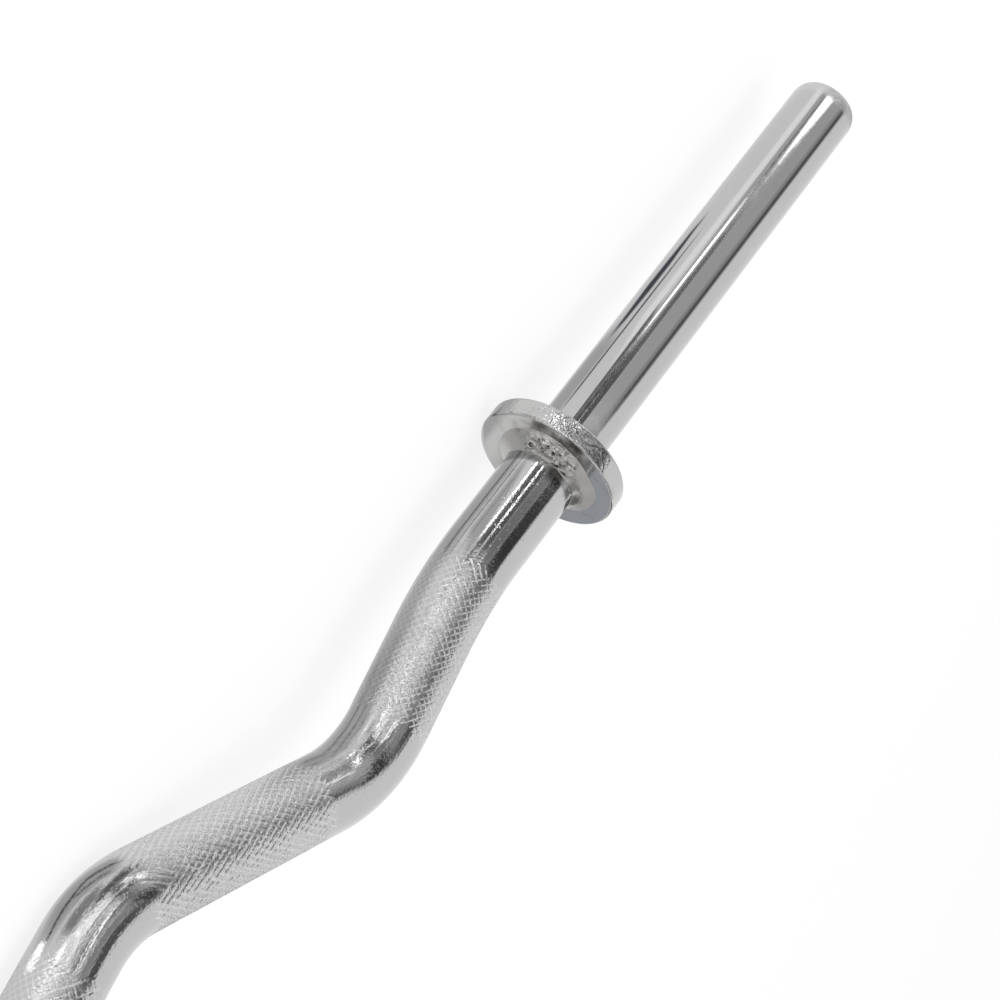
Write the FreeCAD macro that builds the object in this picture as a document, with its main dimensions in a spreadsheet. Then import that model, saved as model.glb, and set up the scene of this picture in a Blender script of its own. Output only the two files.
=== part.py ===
"""A curl bar: a bent, knurled steel shaft with a plain sleeve, a stop ring and a weld bead at each end.

Frame: millimetres, X along the sleeves, Z up. The bar lies as it rests on a floor, on its two stop rings
and its two lowest bends. The origin is on the floor, under the middle of the bar.
"""

import FreeCAD, Part
import math
import os

import Sketcher

# Driving dimensions: lengths in millimetres, angles in degrees
DIMENSIONS = {
    "sleeve_diameter": 26.5,
    "sleeve_length": 196.5,
    "sleeve_end_radius": 3.5,
    "spigot_diameter": 16.0,
    "spigot_length": 30.0,
    "spigot_side_clearance": 0.05,
    "spigot_end_clearance": 1.0,
    "ring_diameter": 55.0,
    "ring_thickness": 8.0,
    "ring_edge_chamfer": 0.8,
    "ring_bore_clearance": 0.1,
    "weld_leg_along_ring": 6.0,
    "weld_leg_along_shaft": 5.0,
    "weld_bulge": 0.8,
    "shaft_diameter": 28.0,
    "outer_straight_length": 58.0,
    "outer_grip_length": 71.0,
    "outer_grip_angle": 15.7,
    "inner_grip_length": 116.5,
    "inner_grip_angle": 28.6,
    "return_grip_angle": 13.5,
    "centre_length": 29.0,
    "first_bend_radius": 140.0,
    "second_bend_radius": 46.0,
    "third_bend_radius": 35.0,
    "fourth_bend_radius": 60.0,
}

# Sizes that follow from the driving dimensions, in the order in which they are worked out
DERIVED = {
    "sleeve_radius": "dimensions.sleeve_diameter / 2",
    "sleeve_straight_end": "dimensions.sleeve_length - dimensions.sleeve_end_radius",
    "sleeve_face_radius": "sleeve_radius - dimensions.sleeve_end_radius",
    "spigot_radius": "dimensions.spigot_diameter / 2",
    "spigot_bore_radius": "spigot_radius + dimensions.spigot_side_clearance",
    "spigot_bore_depth": "dimensions.spigot_length + dimensions.spigot_end_clearance",
    "ring_radius": "dimensions.ring_diameter / 2",
    "ring_face_radius": "ring_radius - dimensions.ring_edge_chamfer",
    "ring_rim_end": "dimensions.ring_thickness - dimensions.ring_edge_chamfer",
    "shaft_radius": "dimensions.shaft_diameter / 2",
    "ring_bore_radius": "shaft_radius + dimensions.ring_bore_clearance",
    "weld_toe_radius": "shaft_radius + dimensions.weld_leg_along_ring",
    # The bead's face is an arc that rises by the bulge over the chord between its two toes
    "weld_half_chord": "sqrt(dimensions.weld_leg_along_ring ^ 2 + dimensions.weld_leg_along_shaft ^ 2) / 2",
    "weld_face_radius": "(weld_half_chord ^ 2 + dimensions.weld_bulge ^ 2) / dimensions.weld_bulge / 2",
    "outer_grip_run": "dimensions.outer_grip_length * cos(dimensions.outer_grip_angle * 1deg)",
    "outer_grip_rise": "dimensions.outer_grip_length * sin(dimensions.outer_grip_angle * 1deg)",
    "inner_grip_run": "dimensions.inner_grip_length * cos(dimensions.inner_grip_angle * 1deg)",
    "inner_grip_fall": "dimensions.inner_grip_length * sin(dimensions.inner_grip_angle * 1deg)",
    # The third slanted stretch comes back to the sleeves' axis, where the centre stretch lies
    "return_grip_rise": "inner_grip_fall - outer_grip_rise",
    "return_grip_run": "return_grip_rise / tan(dimensions.return_grip_angle * 1deg)",
    "fourth_corner": "dimensions.centre_length / 2",
    "third_corner": "fourth_corner + return_grip_run",
    "second_corner": "third_corner + inner_grip_run",
    "first_corner": "second_corner + outer_grip_run",
    "ring_inner_face": "first_corner + dimensions.outer_straight_length",
    "shaft_end": "ring_inner_face + dimensions.ring_thickness",
    # How far an arc's outermost point stays inside the sharp corner that it rounds
    "second_bend_lean": "(dimensions.inner_grip_angle - dimensions.outer_grip_angle) / 2 * 1deg",
    "second_bend_half": "(dimensions.inner_grip_angle + dimensions.outer_grip_angle) / 2 * 1deg",
    "second_bend_cut": "dimensions.second_bend_radius * (cos(second_bend_lean) / cos(second_bend_half) - 1)",
    "third_bend_lean": "(dimensions.inner_grip_angle - dimensions.return_grip_angle) / 2 * 1deg",
    "third_bend_half": "(dimensions.inner_grip_angle + dimensions.return_grip_angle) / 2 * 1deg",
    "third_bend_cut": "dimensions.third_bend_radius * (cos(third_bend_lean) / cos(third_bend_half) - 1)",
    "high_reach": "outer_grip_rise - second_bend_cut",
    "low_reach": "return_grip_rise - third_bend_cut",
    # The bar rolls on its rings until the two low bends touch the floor
    "rest_angle": "asin((ring_radius - shaft_radius) / low_reach)",
    "low_side_reach": "max(low_reach * cos(rest_angle) + shaft_radius; ring_radius)",
    "high_side_reach": "max(high_reach * cos(rest_angle) + shaft_radius; ring_radius)",
    "axis_shift": "(high_side_reach - low_side_reach) / 2",
}

# The turn about Z that makes a piece of each end face outwards
END_TURNS = {"left": 180, "right": 0}

# How a sketch's constraints number a line's two ends, a circle's centre, and its own origin and axes
START_INDEX = 1
END_INDEX = 2
CENTRE_INDEX = 3
ORIGIN_INDICES = (-1, 1)
X_AXIS_INDEX = -1
Y_AXIS_INDEX = -2

doc = FreeCAD.newDocument("curl_bar")


def make_sheet(name, cells):
    """A sheet with one aliased cell per value, and its alias written beside it."""
    sheet = doc.addObject("Spreadsheet::Sheet", name)
    for row, (alias, text) in enumerate(cells.items(), start=1):
        sheet.set("A%d" % row, alias)
        sheet.set("B%d" % row, text)
        sheet.setAlias("B%d" % row, alias)
    doc.recompute()
    return sheet


sheet = make_sheet("dimensions", {alias: str(value) for alias, value in DIMENSIONS.items()})
make_sheet("derived", {alias: "=" + formula for alias, formula in DERIVED.items()})


def value_of(expression):
    """What an expression gives now. It only draws a sketch where its constraints will hold it."""
    return float(sheet.evalExpression(expression))


def make_body(label):
    """An empty body whose label names its file."""
    body = doc.addObject("PartDesign::Body", label)
    body.Label = label
    return body


def origin_plane(body, role):
    """One of the body's own origin planes."""
    return next(feature for feature in body.Origin.OriginFeatures if feature.Role == role)


def add_sketch(body, name, role):
    """An empty sketch on one of the body's origin planes."""
    sketch = body.newObject("Sketcher::SketchObject", name)
    sketch.AttachmentSupport = [(origin_plane(body, role), "")]
    sketch.MapMode = "FlatFace"
    return sketch


def bind(sketch, name, expression, kind, *where):
    """A named constraint whose value follows an expression."""
    index = sketch.addConstraint(Sketcher.Constraint(kind, *where, value_of(expression)))
    sketch.renameConstraint(index, name)
    sketch.setExpression("Constraints." + name, expression)


def bind_point(sketch, name, point, across, up):
    """Holds a point at an expression across and one up from the sketch's origin, where 0 is an axis."""
    if across == "0":
        sketch.addConstraint(Sketcher.Constraint("PointOnObject", *point, Y_AXIS_INDEX))
    else:
        bind(sketch, name + "_across", across, "DistanceX", *ORIGIN_INDICES, *point)
    if up == "0":
        sketch.addConstraint(Sketcher.Constraint("PointOnObject", *point, X_AXIS_INDEX))
    else:
        bind(sketch, name + "_up", up, "DistanceY", *ORIGIN_INDICES, *point)


def arc_between(first, last, radius):
    """The arc of that radius from first to last that bulges to the right of the way from first to last."""
    chord = last - first
    middle = (first + last) * 0.5
    left = FreeCAD.Vector(-chord.y, chord.x, 0).normalize()
    centre = middle + left * math.sqrt(radius**2 - chord.Length**2 / 4)
    begin = math.atan2(first.y - centre.y, first.x - centre.x)
    finish = math.atan2(last.y - centre.y, last.x - centre.x)
    circle = Part.Circle(centre, FreeCAD.Vector(0, 0, 1), radius)
    return Part.ArcOfCircle(circle, begin, finish)


def revolve_profile(body, points, arcs):
    """Turns a closed outline about X. A point is (name, across, up), and the outline runs anticlockwise.

    arcs maps the index of a point to the radius of the arc that leaves it. The other edges are lines."""
    sketch = add_sketch(body, body.Label + "_profile", "XY_Plane")
    places = [FreeCAD.Vector(value_of(across), value_of(up), 0) for _, across, up in points]
    count = len(points)
    for index in range(count):
        first = places[index]
        last = places[(index + 1) % count]
        if index in arcs:
            sketch.addGeometry(arc_between(first, last, value_of(arcs[index])), False)
        else:
            sketch.addGeometry(Part.LineSegment(first, last), False)
    for index in range(count):
        following = (index + 1) % count
        sketch.addConstraint(Sketcher.Constraint("Coincident", index, END_INDEX, following, START_INDEX))
    for index, (name, across, up) in enumerate(points):
        bind_point(sketch, name, (index, START_INDEX), across, up)
    for index, radius in arcs.items():
        bind(sketch, points[index][0] + "_arc_radius", radius, "Radius", index)
    turned = body.newObject("PartDesign::Revolution", body.Label + "_turned")
    turned.Profile = sketch
    turned.ReferenceAxis = (sketch, ["H_Axis"])
    turned.Angle = 360
    return turned


def place_at_end(body, side, distance):
    """Puts a turned piece, drawn outwards from its seat, at that distance from the middle of the bar."""
    turn = FreeCAD.Rotation(FreeCAD.Vector(0, 0, 1), END_TURNS[side])
    body.Placement = FreeCAD.Placement(FreeCAD.Vector(), turn)
    sign = "-" if side == "left" else ""
    body.setExpression("Placement.Base.x", sign + distance)
    body.setExpression("Placement.Base.y", "derived.axis_shift")
    body.setExpression("Placement.Base.z", "derived.ring_radius")


def make_sleeve(side):
    """The plain end that carries the plates, with a spigot that seats it in the shaft."""
    body = make_body(side + "_sleeve")
    points = [
        ("spigot_centre", "-dimensions.spigot_length", "0"),
        ("face_centre", "dimensions.sleeve_length", "0"),
        ("face_edge", "dimensions.sleeve_length", "derived.sleeve_face_radius"),
        ("straight_end", "derived.sleeve_straight_end", "derived.sleeve_radius"),
        ("shoulder", "0", "derived.sleeve_radius"),
        ("spigot_root", "0", "derived.spigot_radius"),
        ("spigot_tip", "-dimensions.spigot_length", "derived.spigot_radius"),
    ]
    revolve_profile(body, points, {2: "dimensions.sleeve_end_radius"})
    place_at_end(body, side, "derived.shaft_end")
    return body


def make_ring(side):
    """The flat ring that stops the plates, on the shaft's end, with a small chamfer round its rim."""
    body = make_body(side + "_stop_ring")
    points = [
        ("inner_bore", "0", "derived.ring_bore_radius"),
        ("outer_bore", "dimensions.ring_thickness", "derived.ring_bore_radius"),
        ("outer_face", "dimensions.ring_thickness", "derived.ring_face_radius"),
        ("outer_rim", "derived.ring_rim_end", "derived.ring_radius"),
        ("inner_rim", "dimensions.ring_edge_chamfer", "derived.ring_radius"),
        ("inner_face", "0", "derived.ring_face_radius"),
    ]
    revolve_profile(body, points, {})
    place_at_end(body, side, "derived.ring_inner_face")
    return body


def make_weld(side):
    """The bead in the corner between the shaft and the ring's inner face."""
    body = make_body(side + "_ring_weld")
    points = [
        ("shaft_toe", "-dimensions.weld_leg_along_shaft", "derived.shaft_radius"),
        ("root", "0", "derived.shaft_radius"),
        ("ring_toe", "0", "derived.weld_toe_radius"),
    ]
    revolve_profile(body, points, {2: "derived.weld_face_radius"})
    place_at_end(body, side, "derived.ring_inner_face")
    return body


def add_bent_path(body, corners, radii):
    """A sketch of straight runs through the corners, each inner corner rounded by a tangent arc."""
    sketch = add_sketch(body, "shaft_path", "XY_Plane")
    places = [FreeCAD.Vector(value_of(across), value_of(up), 0) for _, across, up in corners]
    runs = range(len(corners) - 1)
    bends = range(1, len(corners) - 1)
    for run in runs:
        sketch.addGeometry(Part.LineSegment(places[run], places[run + 1]), True)
    sketch.addConstraint(Sketcher.Constraint("Coincident", 0, START_INDEX, *ORIGIN_INDICES))
    for run, (name, across, up) in zip(runs, corners[1:]):
        bind_point(sketch, name, (run, END_INDEX), across, up)
    for bend in bends:
        sketch.addConstraint(Sketcher.Constraint("Coincident", bend - 1, END_INDEX, bend, START_INDEX))

    starts = [places[0]]
    ends = []
    arcs = []
    for bend in bends:
        back = (places[bend - 1] - places[bend]).normalize()
        onward = (places[bend + 1] - places[bend]).normalize()
        radius = value_of(radii[bend - 1])
        tangent = radius / math.tan(back.getAngle(onward) / 2)
        ends.append(places[bend] + back * tangent)
        starts.append(places[bend] + onward * tangent)
        turns_left = back.cross(onward).z < 0
        first = ends[-1] if turns_left else starts[-1]
        last = starts[-1] if turns_left else ends[-1]
        arcs.append((arc_between(first, last, radius), turns_left))
    ends.append(places[-1])

    lines = [sketch.addGeometry(Part.LineSegment(starts[run], ends[run]), False) for run in runs]
    for run in runs:
        if run > 0:
            sketch.addConstraint(Sketcher.Constraint("PointOnObject", lines[run], START_INDEX, run))
        if run < runs[-1]:
            sketch.addConstraint(Sketcher.Constraint("PointOnObject", lines[run], END_INDEX, run))
    sketch.addConstraint(Sketcher.Constraint("Coincident", lines[0], START_INDEX, 0, START_INDEX))
    sketch.addConstraint(Sketcher.Constraint("Coincident", lines[-1], END_INDEX, runs[-1], END_INDEX))
    for bend, (shape, turns_left) in zip(bends, arcs):
        arc = sketch.addGeometry(shape, False)
        entry = START_INDEX if turns_left else END_INDEX
        leave = END_INDEX if turns_left else START_INDEX
        sketch.addConstraint(Sketcher.Constraint("Tangent", lines[bend - 1], END_INDEX, arc, entry))
        sketch.addConstraint(Sketcher.Constraint("Tangent", lines[bend], START_INDEX, arc, leave))
        bind(sketch, corners[bend][0] + "_bend_radius", radii[bend - 1], "Radius", arc)
    return sketch


def add_circle(body, name, radius):
    """A circle round the X axis, in the body's YZ plane."""
    sketch = add_sketch(body, name, "YZ_Plane")
    circle = Part.Circle(FreeCAD.Vector(), FreeCAD.Vector(0, 0, 1), value_of(radius))
    sketch.addGeometry(circle, False)
    sketch.addConstraint(Sketcher.Constraint("Coincident", 0, CENTRE_INDEX, *ORIGIN_INDICES))
    bind(sketch, name + "_radius", radius, "Radius", 0)
    return sketch


def make_shaft():
    """The bent bar: one half swept along its path, bored for the spigot, and mirrored."""
    body = make_body("shaft")
    corners = [
        ("middle", "0", "0"),
        ("fourth", "derived.fourth_corner", "0"),
        ("third", "derived.third_corner", "derived.return_grip_rise"),
        ("second", "derived.second_corner", "-derived.outer_grip_rise"),
        ("first", "derived.first_corner", "0"),
        ("shaft_end", "derived.shaft_end", "0"),
    ]
    radii = ["dimensions.%s_bend_radius" % name for name, _, _ in corners[1:-1]]
    path = add_bent_path(body, corners, radii)
    section = add_circle(body, "shaft_section", "derived.shaft_radius")
    doc.recompute()

    half = body.newObject("PartDesign::AdditivePipe", "half_shaft")
    half.Profile = section
    half.Spine = path
    doc.recompute()

    bore = add_circle(body, "spigot_bore", "derived.spigot_bore_radius")
    bore.setExpression("AttachmentOffset.Base.z", "derived.shaft_end")
    pocket = body.newObject("PartDesign::Pocket", "spigot_pocket")
    pocket.Profile = bore
    pocket.setExpression("Length", "derived.spigot_bore_depth")
    doc.recompute()

    mirrored = body.newObject("PartDesign::Mirrored", "whole_shaft")
    mirrored.Originals = [half, pocket]
    mirrored.MirrorPlane = (origin_plane(body, "YZ_Plane"), [""])
    body.Tip = mirrored

    # The low bends lie on the +Y side of the sleeves' axis, and roll down to the floor
    turn = FreeCAD.Rotation(FreeCAD.Vector(1, 0, 0), -value_of("derived.rest_angle"))
    body.Placement = FreeCAD.Placement(FreeCAD.Vector(), turn)
    body.setExpression("Placement.Rotation.Angle", "-derived.rest_angle")
    body.setExpression("Placement.Base.y", "derived.axis_shift")
    body.setExpression("Placement.Base.z", "derived.ring_radius")
    return body


def check(bodies):
    """Stops with a message unless every object is sound and every piece is one closed solid."""
    for item in doc.Objects:
        faults = [state for state in item.State if state in ("Invalid", "Error")]
        if faults:
            raise RuntimeError("%s is %s" % (item.Name, faults))
    for body in bodies:
        shape = body.Shape
        if shape.isNull() or not shape.isValid() or len(shape.Solids) != 1:
            raise RuntimeError("%s is not one valid solid" % body.Label)


def main():
    bodies = [make_shaft()]
    for side in END_TURNS:
        bodies.append(make_sleeve(side))
        bodies.append(make_ring(side))
        bodies.append(make_weld(side))
    doc.recompute()
    check(bodies)
    os.makedirs("parts", exist_ok=True)
    for body in bodies:
        body.Shape.exportStep("parts/%s.step" % body.Label)
        print("%-16s volume %.1f  box %s" % (body.Label, body.Shape.Volume, body.Shape.BoundBox))


main()
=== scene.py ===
"""The chromed curl bar as it lies on a pale floor: knurled shaft, plain sleeves, stop rings and weld beads."""

import math

import bmesh
import bpy
import numpy as np
from mathutils import Matrix, Vector, noise


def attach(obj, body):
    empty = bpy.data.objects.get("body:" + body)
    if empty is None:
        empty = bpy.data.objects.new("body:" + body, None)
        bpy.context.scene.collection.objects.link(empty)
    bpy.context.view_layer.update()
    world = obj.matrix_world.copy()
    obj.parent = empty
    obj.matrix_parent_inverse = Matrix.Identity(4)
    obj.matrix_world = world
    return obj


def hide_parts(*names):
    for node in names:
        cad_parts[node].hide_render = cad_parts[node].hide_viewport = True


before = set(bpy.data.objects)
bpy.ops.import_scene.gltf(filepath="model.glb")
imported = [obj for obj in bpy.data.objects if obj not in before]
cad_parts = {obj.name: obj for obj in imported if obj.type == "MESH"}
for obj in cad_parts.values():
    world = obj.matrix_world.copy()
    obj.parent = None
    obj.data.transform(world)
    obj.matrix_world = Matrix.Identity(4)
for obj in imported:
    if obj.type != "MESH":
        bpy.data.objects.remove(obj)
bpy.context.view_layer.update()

MM = 0.001

# The bar's sizes in millimetres, as in the part's source
SHAFT_RADIUS = 14.0
SLEEVE_RADIUS = 13.25
SLEEVE_END_RADIUS = 3.5
RING_RADIUS = 27.5
RING_BORE = 14.1
RING_EDGE = 0.8
RING_INNER_FACE = 395.399
RING_OUTER_FACE = 403.399
SLEEVE_END = 599.899
WELD_TOE_SHAFT = 5.0
WELD_TOE_RING = 6.0
AXIS_Y = -8.514
AXIS_Z = 27.5
REST_ANGLE = math.radians(23.123)

# Corners of the shaft's right half in its own plane (across, towards the low bends), and their bend radii
CORNERS = [(0.0, 0.0), (14.5, 0.0), (166.80, 36.556), (269.084, -19.213), (337.436, 0.0), (RING_OUTER_FACE, 0.0)]
BEND_RADII = [60.0, 35.0, 46.0, 140.0]


def build_segments():
    """Straight runs and arcs of the right half, each with where it starts along the bar."""
    points = [np.array(corner) for corner in CORNERS]
    segments = []
    start = points[0]
    along = 0.0
    for corner, radius, before, after in zip(points[1:-1], BEND_RADII, points, points[2:]):
        back = (before - corner) / np.linalg.norm(before - corner)
        onward = (after - corner) / np.linalg.norm(after - corner)
        half = math.acos(float(np.clip(back @ onward, -1, 1))) / 2
        tangent = radius / math.tan(half)
        entry = corner + back * tangent
        leave = corner + onward * tangent
        length = float(np.linalg.norm(entry - start))
        segments.append(("line", along, length, start, (entry - start) / length))
        along += length
        centre = corner + (back + onward) / np.linalg.norm(back + onward) * radius / math.sin(half)
        first = math.atan2(entry[1] - centre[1], entry[0] - centre[0])
        last = math.atan2(leave[1] - centre[1], leave[0] - centre[0])
        turn = (last - first + math.pi) % (2 * math.pi) - math.pi
        segments.append(("arc", along, abs(turn) * radius, centre, (first, math.copysign(radius, turn))))
        along += abs(turn) * radius
        start = leave
    length = float(np.linalg.norm(points[-1] - start))
    segments.append(("line", along, length, start, (points[-1] - start) / length))
    return segments, along + length


SEGMENTS, HALF_LENGTH = build_segments()


def centreline(along):
    """In-plane points and directions of the shaft at these distances from its middle, negative to the left."""
    along = np.asarray(along, float)
    sign = np.where(along < 0, -1.0, 1.0)
    distance = np.abs(along)
    point = np.zeros(along.shape + (2,))
    heading = np.zeros(along.shape + (2,))
    for kind, start, length, origin, shape in SEGMENTS:
        inside = (distance >= start - 1e-9) & (distance <= start + length + 1e-6)
        part = distance[inside] - start
        if kind == "line":
            point[inside] = origin + part[:, None] * shape
            heading[inside] = shape
        else:
            first, radius = shape
            angle = first + part / radius
            point[inside] = origin + abs(radius) * np.stack([np.cos(angle), np.sin(angle)], -1)
            heading[inside] = np.sign(radius) * np.stack([-np.sin(angle), np.cos(angle)], -1)
    point[..., 0] *= sign
    heading[..., 1] *= sign
    return point, heading


def shaft_points(along, angle, radius):
    """Points of the shaft's surface in the row frame, in millimetres."""
    point, heading = centreline(along)
    side = np.stack([-heading[..., 1], heading[..., 0]], -1)
    flat = point + side * (radius * np.cos(angle))[..., None]
    lift = radius * np.sin(angle)
    across, up = math.cos(REST_ANGLE), math.sin(REST_ANGLE)
    return np.stack(
        [
            flat[..., 0],
            AXIS_Y + flat[..., 1] * across + lift * up,
            AXIS_Z - flat[..., 1] * up + lift * across,
        ],
        -1,
    )


def end_points(along, angle, radius, side):
    """Points round the sleeves' axis, at that distance from the bar's middle on one side, in millimetres."""
    along = np.broadcast_to(along, np.shape(radius))
    return np.stack(
        [
            side * along,
            AXIS_Y + radius * np.cos(angle),
            AXIS_Z + radius * np.sin(angle),
        ],
        -1,
    )


def make_object(name, points, faces, sharp_angle=30.0):
    """A smooth-shaded mesh from points in millimetres, with edges over the sharp angle kept crisp."""
    mesh = bpy.data.meshes.new(name)
    mesh.from_pydata((np.asarray(points) * MM).tolist(), [], faces)
    mesh.validate()
    mesh.polygons.foreach_set("use_smooth", [True] * len(mesh.polygons))
    mesh.set_sharp_from_angle(angle=math.radians(sharp_angle))
    mesh.update()
    made = bpy.data.objects.new(name, mesh)
    bpy.context.scene.collection.objects.link(made)
    return made


def face_outwards(made):
    """Turns every face outwards."""
    work = bmesh.new()
    work.from_mesh(made.data)
    bmesh.ops.recalc_face_normals(work, faces=work.faces)
    work.to_mesh(made.data)
    work.free()


# Points round the shaft, and the distance between rings of them on the smooth stretches in millimetres
COLUMNS = 168
SMOOTH_STEP = 1.0
# The knurl: two sets of narrow grooves that cross and leave flat tops between them. Lengths in millimetres, or shares
GROOVE_DEPTH = 0.16
SHALLOWEST = 0.02
BURR = 0.20
GROOVE_SIDES = 0.20
GROOVE_END_SHAPE = 2.2
GROOVE_END_SCALE = 1.5
GROOVE_RUN_OUT = 2.5
KNURL_EDGE = 8.0
TOP_DENTS = 0.012
LINE_WOBBLE = 0.05
# Wear of the grooves: patches along and round the bar, their mean, their strength, the grain over them and the limits
WEAR_ALONG = 0.16
WEAR_ROUND = 6
WEAR_MEAN = 0.85
WEAR_PATCHES = 0.7
WEAR_GRAIN = 0.18
WEAR_LIMITS = (0.1, 1.3)
# Side of the bar with fainter grooves: from, to and fade, in degrees round the shaft
FAINT_SIDE = (-45, 5, 15)
# The smooth bends: frost, its fade at the outer ends, the fade of the drawn lay and its strength elsewhere
BEND_FROST = 0.28
FROST_FADE = 9.0
BEND_FADE = 6.0
STRAIGHT_LAY = 0.15
LAY_STRETCH = 0.08
# The shaft painted darker beside the weld: where this starts along the bar, its fade, its angles and its strength
DARK_PATCH_START = 387.5
DARK_PATCH_FADE = 4.0
DARK_PATCH_ANGLES = (30, 46, 10)
DARK_PATCH_STRENGTH = 0.9
# Knurled stretches of the right half, from the middle of the bar outwards: start, end, the grooves' spacing along the
# bar, columns from one groove to the next, the depth of the two sets, how frosted the tops are, how frosted the grooves
# are and how pale they are painted (a painted sheen), and how much the grooves fade on the faint side
KNURLED = [
    (28.0, 154.0, 3.0, 6, (1.0, 1.0), 1.0, 0.6, 0.3),
    (177.0, 262.0, 4.1, 5, (1.3, 0.8), 1.0, 0.9, 0.0),
    (298.5, 365.0, 2.72, 6, (0.85, 1.1), 1.0, 1.0, 0.5),
]

rng = np.random.default_rng(7)


def smoothstep(value):
    value = np.clip(value, 0, 1)
    return value * value * (3 - 2 * value)


def bump_at(value, low, high, soft):
    """One between low and high, fading to nothing over soft on either side."""
    return smoothstep((value - low) / soft + 1) * smoothstep((high - value) / soft + 1)


def add_values(made, name, values):
    made.data.attributes.new(name, "FLOAT", "POINT").data.foreach_set("value", values)


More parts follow.
